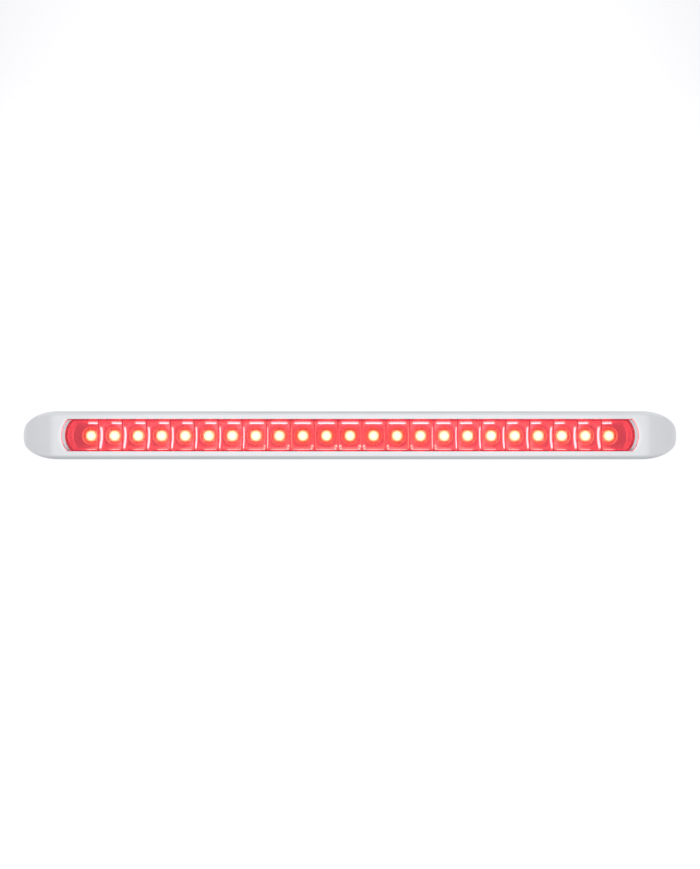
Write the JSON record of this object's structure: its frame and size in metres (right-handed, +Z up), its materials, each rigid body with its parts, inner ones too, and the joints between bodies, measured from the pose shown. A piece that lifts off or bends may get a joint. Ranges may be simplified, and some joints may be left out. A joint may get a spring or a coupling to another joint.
{
  "type": "third brake light",
  "caption": "Slim reflector light bar with a red lens, a row of LEDs and a plated clip-on bezel with rounded, sloping ends that hides the mounting screws.",
  "frame": {"origin": "centre of the rear mounting face, on the back of the gasket", "axes": "+X along the bar, +Z up, the lens faces -Y and +Y points into the vehicle panel"},
  "size_m": [0.4382, 0.0314, 0.0318],
  "materials": {
    "black_abs": "moulded black ABS, fine satin grain",
    "foam": "closed-cell foam, matt",
    "bushing_brass": "turned brass",
    "grommet_rubber": "matt moulded rubber",
    "board": "white solder mask over glass-fibre laminate",
    "screw_steel": "zinc-plated",
    "led_epoxy": "water-clear epoxy",
    "lead_frame": "tinned",
    "led_die": "semiconductor die",
    "resistor_body": "black coated chip",
    "regulator_body": "moulded black package",
    "diode_body": "moulded black package",
    "suppressor_body": "moulded black package",
    "capacitor_body": "sintered ceramic",
    "terminal_brass": "tin-flashed brass",
    "solder": "bright solder",
    "reflector_metallising": "vacuum-metallised mirror finish on moulded ABS",
    "seal_silicone": "cured silicone",
    "red_lens": "transparent red polycarbonate, polished",
    "bezel_plating": "bright chrome plating on moulded ABS",
    "clip_steel": "stainless spring strip"
  },
  "bodies": {
    "lamp": {"housing": "black_abs", "mounting_gasket": "foam", "ear_bushings": "bushing_brass", "wire_grommet": "grommet_rubber", "circuit_board": "board", "board_screws": "screw_steel", "led_bodies": "led_epoxy", "led_lead_frames": "lead_frame", "led_chips": "led_die", "string_resistors": "resistor_body", "current_regulators": "regulator_body", "steering_diodes": "diode_body", "surge_suppressor": "suppressor_body", "filter_capacitors": "capacitor_body", "wire_terminals": "terminal_brass", "solder_joints": "solder", "reflector": "reflector_metallising", "lens_seal": "seal_silicone", "lens": "red_lens"},
    "bezel_body": {"bezel": "bezel_plating", "bezel_clips": "clip_steel"}
  },
  "joints": [
    {"name": "bezel_lift", "type": "slide", "parent": "lamp", "child": "bezel_body", "axis": [0, -1, 0], "range_m": [0, 0.03], "deforming": ["bezel_clips"]}
  ]
}
